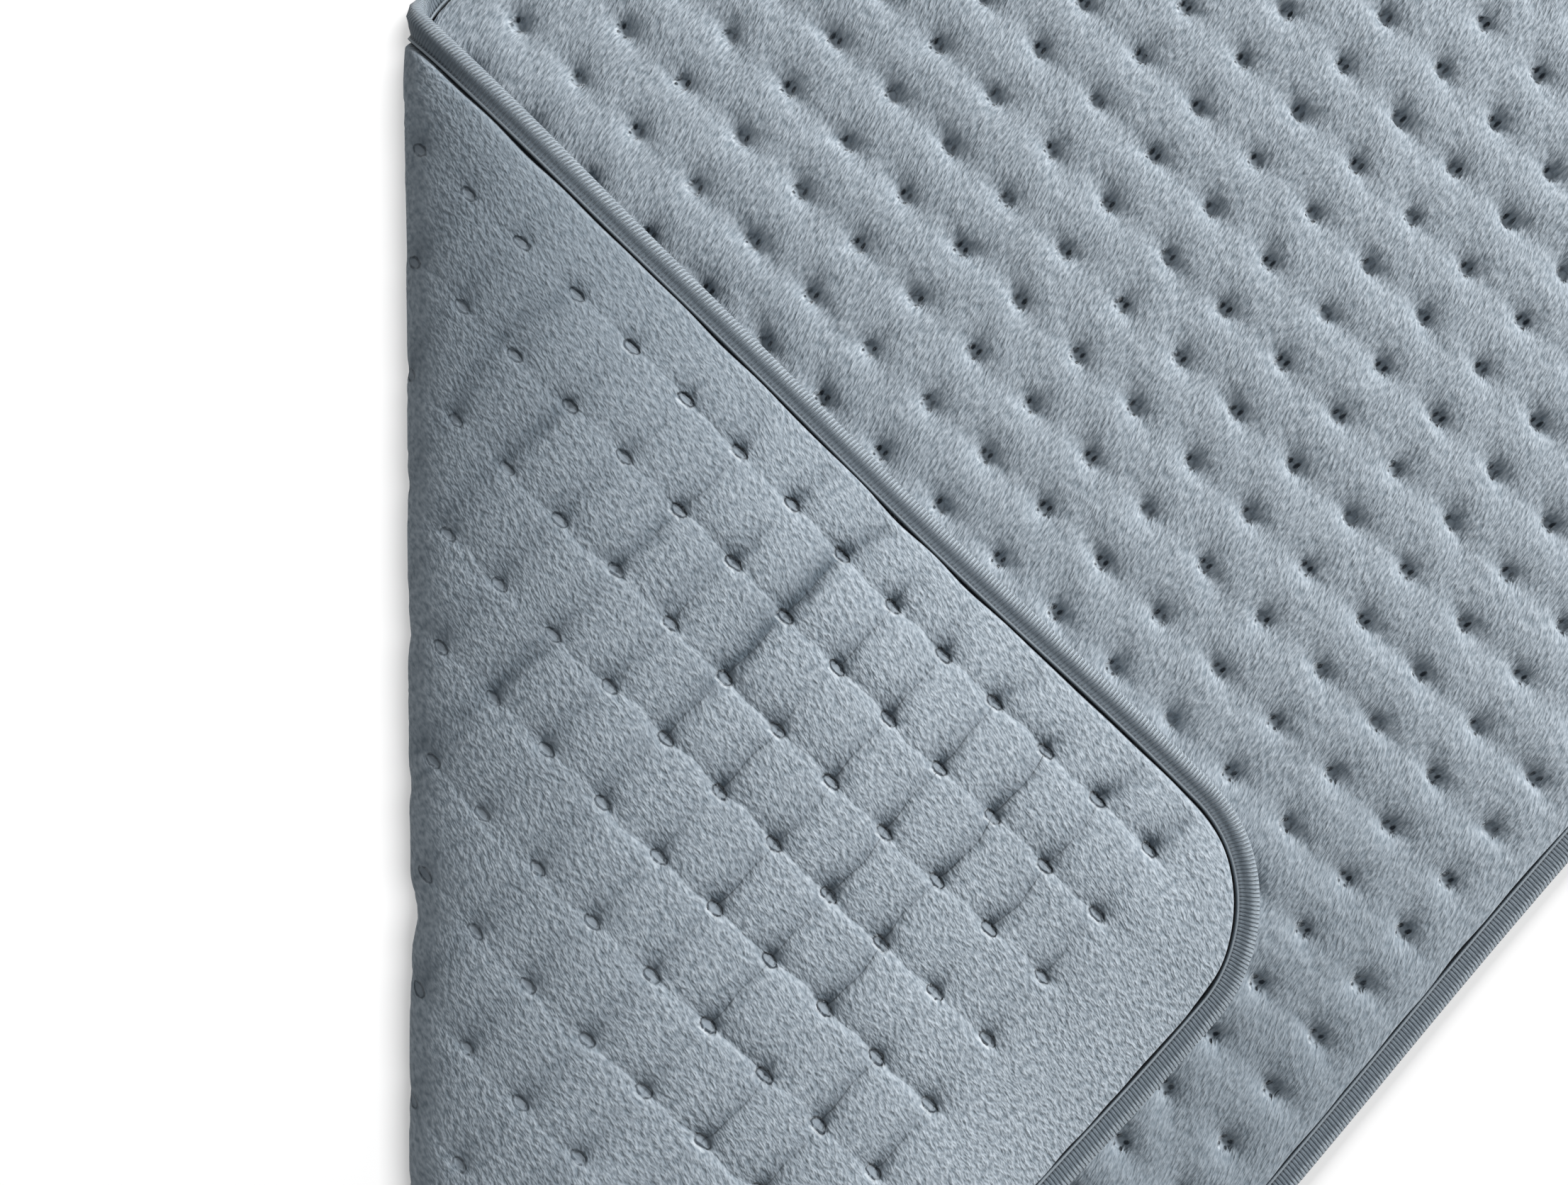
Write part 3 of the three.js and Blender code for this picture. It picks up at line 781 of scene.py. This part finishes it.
def plush_material():
    n = Nodes("blue_grey_plush")
    x, y, side = n.split(n.attribute("flat"))
    # The two faces take their noise from different layers.
    layer = n.times(side, 37.0)
    place = n.join(x, y, layer)
    # The pile leans along the pad's length, a little off it and more so on the turned-up face.
    swept_x = n.plus(x, n.swing(n.noise(place, 0.04, 1.0, 0.5), 3.0))
    turned = []
    for lean in PILE_LEAN:
        cos, sin = math.cos(math.radians(lean)), math.sin(math.radians(lean))
        across = n.plus(n.times(swept_x, cos), n.times(y, sin))
        along = n.minus(n.times(y, cos), n.times(swept_x, sin))
        turned.append((across, along))
    across, along = (
        n.plus(n.times(upper, n.rest(side)), n.times(under, side))
        for upper, under in zip(*turned)
    )
    fine_across = n.times(across, n.ramp(side, 0, 1, 1.28, 0.8, "LINEAR"))
    fine_along = n.times(along, n.ramp(side, 0, 1, 0.33, 0.5, "LINEAR"))
    strokes = n.noise(n.join(fine_across, fine_along, layer), 1.0, 1.3, 0.5)
    hair_place = n.join(n.times(across, 2.6), n.times(along, 0.7), layer)
    hairs = n.noise(hair_place, 1.0, 1.0, 0.5)
    lock_place = n.join(n.times(across, 0.4), n.times(along, 0.22), layer)
    locks = n.noise(lock_place, 1.0, 2.0, 0.5)
    patches = n.noise(place, 0.03, 3.0, 0.55)
    # Where it is in the cell of the nearest tuft.
    near_x = n.math("DIVIDE", n.minus(x, FIRST_X), PITCH_X)
    near_y = n.math("DIVIDE", n.minus(y, FIRST_Y), PITCH_Y)
    column, row = n.math("ROUND", near_x), n.math("ROUND", near_y)
    off_x = n.times(n.minus(near_x, column), PITCH_X)
    off_y = n.times(n.minus(near_y, row), PITCH_Y)
    chance = n.node("ShaderNodeTexWhiteNoise", noise_dimensions="3D")
    n.link(n.join(column, row, side), chance.inputs["Vector"])
    luck = chance.outputs["Value"]
    middle_column, middle_row = (COLUMNS - 1) / 2, (ROWS - 1) / 2
    inside = n.math(
        "MULTIPLY", n.math("COMPARE", column, middle_column, middle_column + 0.1),
        n.math("COMPARE", row, middle_row, middle_row + 0.1),
    )
    # Each tuft is a small stitched button: needle holes round it on the upper face, and an uneven oval
    # ring of thread on the turned-up one, with painted shade in the holes and in the ring's groove. No two
    # are quite alike.
    luck_x, luck_y, luck_z = n.split(chance.outputs["Color"])
    off_x = n.plus(off_x, n.swing(luck_x, 0.5))
    off_y = n.plus(off_y, n.swing(luck_y, 0.5))
    rough = n.noise(n.join(off_x, off_y, n.times(luck, 90.0)), 0.6, 1.0, 0.5)
    rough = n.swing(rough, 0.5)

    def spot(at_x, at_y, wide, tall, soft):
        """1 within an oval spot, falling to 0 at its rim."""
        away_x = n.math("DIVIDE", n.minus(off_x, at_x), wide)
        away_y = n.math("DIVIDE", n.minus(off_y, at_y), tall)
        away = n.math("SQRT", n.plus(n.math("POWER", away_x, 2.0), n.math("POWER", away_y, 2.0)))
        return n.ramp(n.plus(away, rough), soft, 1.0, 1.0, 0.0)

    def bar(at_x, wide, tall):
        """1 within an upright bar with soft sides and ends."""
        rough_x = n.plus(off_x, n.times(rough, 0.8))
        away_x = n.math("ABSOLUTE", n.minus(rough_x, at_x))
        sides = n.ramp(away_x, wide * 0.55, wide, 1.0, 0.0)
        return n.times(sides, n.ramp(n.math("ABSOLUTE", off_y), tall * 0.7, tall, 1.0, 0.0))

    def by_luck(turns, least):
        """How clear a mark is on this tuft, from `least` to 1; other `turns` pick other tufts."""
        return n.ramp(n.math("FRACT", n.times(luck_z, turns)), 0.0, 0.6, least, 1.0)

    def both(upper, under):
        """One mark for the upper face and one for the turned-up face."""
        upper = n.times(upper, n.rest(side))
        return n.times(n.plus(upper, n.times(under, side)), inside)

    holes = 0.0
    for at_x, at_y, wide, tall, turns in NEEDLE_HOLES:
        hole = n.times(spot(at_x, at_y, wide, tall, 0.45), by_luck(turns, 0.15))
        holes = n.math("MAXIMUM", holes, hole)
    threads = n.times(spot(0.0, 0.0, 1.7, 3.0, 0.84), n.rest(spot(0.05, 0.0, 1.05, 2.6, 0.7)))
    uneven_ring = n.noise(n.join(off_x, off_y, n.times(luck, 50.0)), 0.5, 1.0, 0.5)
    groove = both(holes, n.times(threads, n.ramp(uneven_ring, 0.36, 0.5, 0.4, 1.0)))
    button = both(spot(0.0, 0.0, 1.9, 1.9, 0.6), spot(0.0, 0.0, 1.4, 2.6, 0.5))
    side_glint = n.times(spot(-2.2, -1.2, 0.5, 0.9, 0.1), by_luck(13, 0.0))
    glints = n.math("MAXIMUM", spot(-0.9, -2.3, 1.0, 0.5, 0.1), side_glint)
    glint = both(
        n.times(glints, by_luck(9, 0.35)),
        n.times(bar(1.8, 0.4, 2.6), by_luck(9, 0.3)),
    )
    # Painted shade in the hollow beside each tuft.
    hollow_shade = both(spot(-0.6, 2.2, 3.0, 3.4, 0.1), spot(-1.6, 0.9, 3.2, 4.0, 0.1))
    # Colour: between the strands the pile is darker, and brushed patches are paler.
    strong = n.ramp(side, 0, 1, 0.66, 0.62, "LINEAR")
    shade = n.plus(n.swing(strokes, strong), n.swing(hairs, 0.2))
    shade = n.plus(shade, n.swing(locks, 0.04))
    shade = n.plus(n.plus(shade, 0.5), n.swing(patches, 0.06))
    colour = n.node("ShaderNodeValToRGB")
    stops = colour.color_ramp.elements
    stops[0].position, stops[0].color = 0.36, PLUSH["root"]
    stops[1].position, stops[1].color = 0.64, PLUSH["tip"]
    stops.new(0.5).color = PLUSH["middle"]
    n.link(shade, colour.inputs[0])
    valley_shade, slope_shade, by_cord = n.split(n.attribute("painted_shade"))
    # Round the bend the stitches hardly sink in.
    still, _, _ = n.split(n.attribute("calm"))
    plain = n.rest(n.times(still, 0.85))
    hollow_shade, glint = (n.times(mark, plain) for mark in (hollow_shade, glint))
    groove = n.times(groove, n.plus(n.times(plain, 0.3), 0.7))
    # The crisp edge of each valley: a dip in the relief at the valley, and a painted highlight on the crest
    # of its steep bank.
    edges, crest_highlight = 0.0, 0.0
    for name, pitch, steep, weight in (("valley_y", PITCH_X, 1, 0.44), ("valley_x", PITCH_Y, -1, 0.36)):
        sine, cosine, strength = n.split(n.attribute(name))
        strength = n.times(strength, n.ramp(cosine, 0.0, 0.4))
        off = n.times(sine, pitch * steep / 2 / math.pi)
        off = n.plus(off, n.times(rough, 0.5))
        fall = n.ramp(off, -0.1, 0.1, 0.6, 2.8, "LINEAR")
        near = n.math("EXPONENT", n.times(n.math("ABSOLUTE", off), n.times(fall, -1.0)))
        edges = n.plus(edges, n.times(near, strength))
        crest = n.times(n.ramp(off, 0.1, 0.45), n.ramp(off, 0.5, 1.5, 1.0, 0.0))
        crest_highlight = n.plus(crest_highlight, n.times(n.times(crest, strength), weight))
    # Painted shade by the bend and low on the right, where the surface should turn from the light.
    tinted = n.mix(n.times(slope_shade, 0.55), colour.outputs[0], PLUSH["painted_slope_shade"])
    # Painted shade along the valleys and creases.
    tinted = n.mix(n.times(valley_shade, 0.85, clamp=True), tinted, PLUSH["valley_shade"])
    # Painted highlight on the valleys' crests.
    tinted = n.mix(n.times(crest_highlight, 0.45, clamp=True), tinted, PLUSH["crest_highlight"])
    # Painted shade in each tuft's hollow.
    tinted = n.mix(n.times(hollow_shade, 0.34), tinted, PLUSH["hollow_shade"])
    buttons = n.mix(side, PLUSH["upper_button"], PLUSH["under_button"])
    tinted = n.mix(n.times(button, 0.75), tinted, buttons)
    # Painted shade in the needle holes and in the thread ring's groove.
    tinted = n.mix(n.times(groove, 0.93), tinted, PLUSH["groove_shade"])
    tinted = n.mix(n.times(glint, 0.4), tinted, PLUSH["glint"])
    # Painted shade in the gap between the plush's lip and the binding.
    tinted = n.mix(by_cord, tinted, PLUSH["lip"])
    n.link(tinted, n.shader.inputs["Base Color"])
    # The pile's relief, lower on the buttons and where the turned-up face takes painted slope shade.
    pile = n.plus(n.times(locks, 0.5), n.times(hairs, 0.25))
    pile = n.plus(strokes, pile)
    pile = n.times(pile, n.rest(n.times(button, 0.85)))
    pile = n.times(pile, n.ramp(side, 0, 1, 1.0, 1.1, "LINEAR"))
    pile = n.times(pile, n.rest(n.times(n.times(slope_shade, side), 0.15)))
    # The pinch at each tuft.
    under_pinch = n.times(spot(0.3, 0.0, 2.4, 3.8, 0.4), n.times(plain, 0.7))
    pinch = both(spot(0.0, 0.0, 3.2, 3.2, 0.45), under_pinch)
    relief = n.bump(n.times(pinch, -1.0), 0.0009, 1.0)
    relief = n.bump(n.times(edges, -1.0), 0.0006, 1.0, relief)
    relief = n.bump(pile, 0.0008, 0.8, relief)
    relief = n.bump(n.times(groove, -1.0), 0.0002, 1.0, relief)
    n.link(relief, n.shader.inputs["Normal"])
    n.link(n.ramp(strokes, 0.3, 0.7, 0.98, 0.86, "LINEAR"), n.shader.inputs["Roughness"])
    n.shader.inputs["Specular IOR Level"].default_value = 0.2
    n.shader.inputs["Sheen Weight"].default_value = 0.3
    n.shader.inputs["Sheen Roughness"].default_value = 0.45
    n.shader.inputs["Sheen Tint"].default_value = (0.8, 0.88, 0.95, 1)
    return n.material


# Colours of the binding, as linear RGBA: its yarn, painted shade on its inner half, painted shade in the
# gaps between yarns, the cord along its inner edge, painted shade in the seam beside that, and painted
# shade at the edge itself.
YARN = dict(
    dark=(0.18, 0.218, 0.255, 1), pale=(0.32, 0.37, 0.412, 1), inner=(0.085, 0.11, 0.135, 1),
    gap=(0.05, 0.07, 0.09, 1), cord=(0.34, 0.39, 0.43, 1), seam_shade=(0.012, 0.02, 0.03, 1),
    edge=(0.006, 0.01, 0.015, 1),
)


def binding_material():
    n = Nodes("binding_yarn")
    run, width, phase = n.split(n.attribute("along"))
    turns = n.math("FRACT", phase)
    # The gaps between the yarns, sunk in the relief and given painted shade, shallower on the inner half, and
    # a smooth cord along the inner edge.
    gap = n.ramp(n.math("ABSOLUTE", n.minus(turns, 0.5)), 0.08, 0.3, 1.0, 0.0)
    fibre_place = n.join(n.times(phase, 4.0), n.times(width, 0.8), 0.0)
    fibre = n.noise(fibre_place, 1.0, 2.0, 0.6)
    patch_place = n.join(n.times(run, 0.14), n.times(width, 0.35), 4.0)
    uneven = n.noise(patch_place, 1.0, 2.0, 0.5)
    ribbed = n.times(n.ramp(width, 1.9, 2.9), n.ramp(width, 5.0, 6.8, 0.5, 1.0))
    cord = n.times(n.ramp(width, 0.7, 1.1), n.ramp(width, 1.8, 2.2, 1.0, 0.0))
    # Painted shade in the seam beside the cord, darkest at each gap.
    seam_shade = n.times(n.ramp(width, 1.9, 2.3), n.ramp(width, 2.7, 3.3, 1.0, 0.0))
    pinch = n.times(seam_shade, n.plus(n.times(gap, 0.6), 0.4))
    shade = n.plus(n.times(fibre, 0.55), n.times(uneven, 0.45))
    colour = n.node("ShaderNodeValToRGB")
    stops = colour.color_ramp.elements
    stops[0].position, stops[0].color = 0.3, YARN["dark"]
    stops[1].position, stops[1].color = 0.7, YARN["pale"]
    n.link(shade, colour.inputs[0])
    # Painted shade on the binding's inner half.
    inner = n.ramp(width, 5.2, 7.0, 1.0, 0.0)
    gaps = n.times(gap, ribbed)
    tinted = n.mix(n.times(inner, 0.8), colour.outputs[0], YARN["inner"])
    tinted = n.mix(n.times(gaps, 0.52), tinted, YARN["gap"])
    tinted = n.mix(n.times(cord, 0.7), tinted, YARN["cord"])
    tinted = n.mix(n.times(pinch, 0.85), tinted, YARN["seam_shade"])
    tinted = n.mix(n.ramp(width, 0.0, 0.8, 0.9, 0.0), tinted, YARN["edge"])
    n.link(tinted, n.shader.inputs["Base Color"])
    relief = n.bump(n.times(gaps, -1.0), 0.0004, 1.0)
    n.link(n.bump(fibre, 0.0003, 0.6, relief), n.shader.inputs["Normal"])
    n.link(n.ramp(fibre, 0.3, 0.7, 0.8, 0.62, "LINEAR"), n.shader.inputs["Roughness"])
    n.shader.inputs["Specular IOR Level"].default_value = 0.3
    n.shader.inputs["Sheen Weight"].default_value = 0.15
    n.shader.inputs["Sheen Roughness"].default_value = 0.5
    return n.material


def floor_material():
    n = Nodes("pale_floor")
    fine = n.noise(n.node("ShaderNodeTexCoord").outputs["Object"], 40.0, 2.0, 0.5)
    n.link(n.mix(fine, (0.93, 0.93, 0.93, 1), (0.95, 0.95, 0.95, 1)), n.shader.inputs["Base Color"])
    n.shader.inputs["Roughness"].default_value = 0.9
    n.shader.inputs["Specular IOR Level"].default_value = 0.1
    return n.material


# ------------------------------------------------------------ the pieces

pad = build_pad(plush_material())
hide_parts("quilted_pad")
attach(pad, "root")

binding = build_binding(binding_material())
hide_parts("edge_binding")
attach(binding, "root")

# ------------------------------------------------------------ floor, light and camera

FLOOR_HALF = 3.0
floor_corners = [(x * FLOOR_HALF, y * FLOOR_HALF, 0) for x, y in ((-1, -1), (1, -1), (1, 1), (-1, 1))]
floor = make_object("floor", floor_corners, [(0, 1, 2, 3)], floor_material())

# The camera looks almost straight down on the folded corner, with the pad's length running up to the
# right.
CAMERA_PLACE = Vector((-19.05, -107.36, 318.0)) * MM
CAMERA_TILT = (-0.032, 0.0475, 0.042)
CAMERA_LENS = 24.41


def camera_turn():
    level = Matrix((
        (math.sqrt(0.5), math.sqrt(0.5), 0),
        (-math.sqrt(0.5), math.sqrt(0.5), 0),
        (0, 0, 1),
    ))
    tilt_x, tilt_y, tilt_z = CAMERA_TILT
    tilt = Matrix.Rotation(tilt_z, 3, "Z") @ Matrix.Rotation(tilt_y, 3, "Y") @ Matrix.Rotation(tilt_x, 3, "X")
    return (tilt @ level).transposed()


camera = bpy.data.objects.new("camera", bpy.data.cameras.new("camera"))
camera.data.lens = CAMERA_LENS
camera.data.clip_start = 0.01
camera.matrix_world = Matrix.Translation(CAMERA_PLACE) @ camera_turn().to_4x4()
bpy.context.scene.collection.objects.link(camera)
bpy.context.scene.camera = camera


def area_light(name, place, target, size, power, colour, lit):
    light = bpy.data.objects.new(name, bpy.data.lights.new(name, "AREA"))
    light.data.size = size
    light.data.energy = power
    light.data.color = colour
    light.location = place
    light.rotation_euler = (Vector(target) - Vector(place)).to_track_quat("-Z", "Y").to_euler()
    bpy.context.scene.collection.objects.link(light)
    group = bpy.data.collections.new(name + "_lights")
    for obj in lit:
        group.objects.link(obj)
    light.light_linking.receiver_collection = group


# A low broad key from beyond the far end of the pad, a little to its right, and a soft fill from above
# light the pad alone. The floor has two broad lights of its own, one low and one high, so that it stays
# pale and only a soft shadow gathers round the pad.
area_light("key", (0.77, 2.82, 1.27), (0, -0.1, 0), 0.96, 200, (1.0, 0.99, 0.98), (pad, binding))
area_light("fill", (-0.5, -0.8, 2.2), (0, 0, 0), 1.8, 14, (0.95, 0.98, 1.0), (pad, binding))
area_light("floor_light", (-2.4, 0.3, 1.5), (0, 0, 0), 0.9, 58, (1.0, 1.0, 1.0), (floor,))
area_light("floor_high_light", (1.0, 1.0, 2.65), (0, 0, 0), 1.3, 63, (1.0, 1.0, 1.0), (floor,))
floor.visible_diffuse = False

world = bpy.data.worlds.new("studio")
world.use_nodes = True
surroundings = world.node_tree.nodes["Background"]
surroundings.inputs["Color"].default_value = (1, 1, 1, 1)
surroundings.inputs["Strength"].default_value = 0.2
bpy.context.scene.world = world
bpy.context.scene.view_settings.view_transform = "Standard"
bpy.context.scene.view_settings.look = "None"
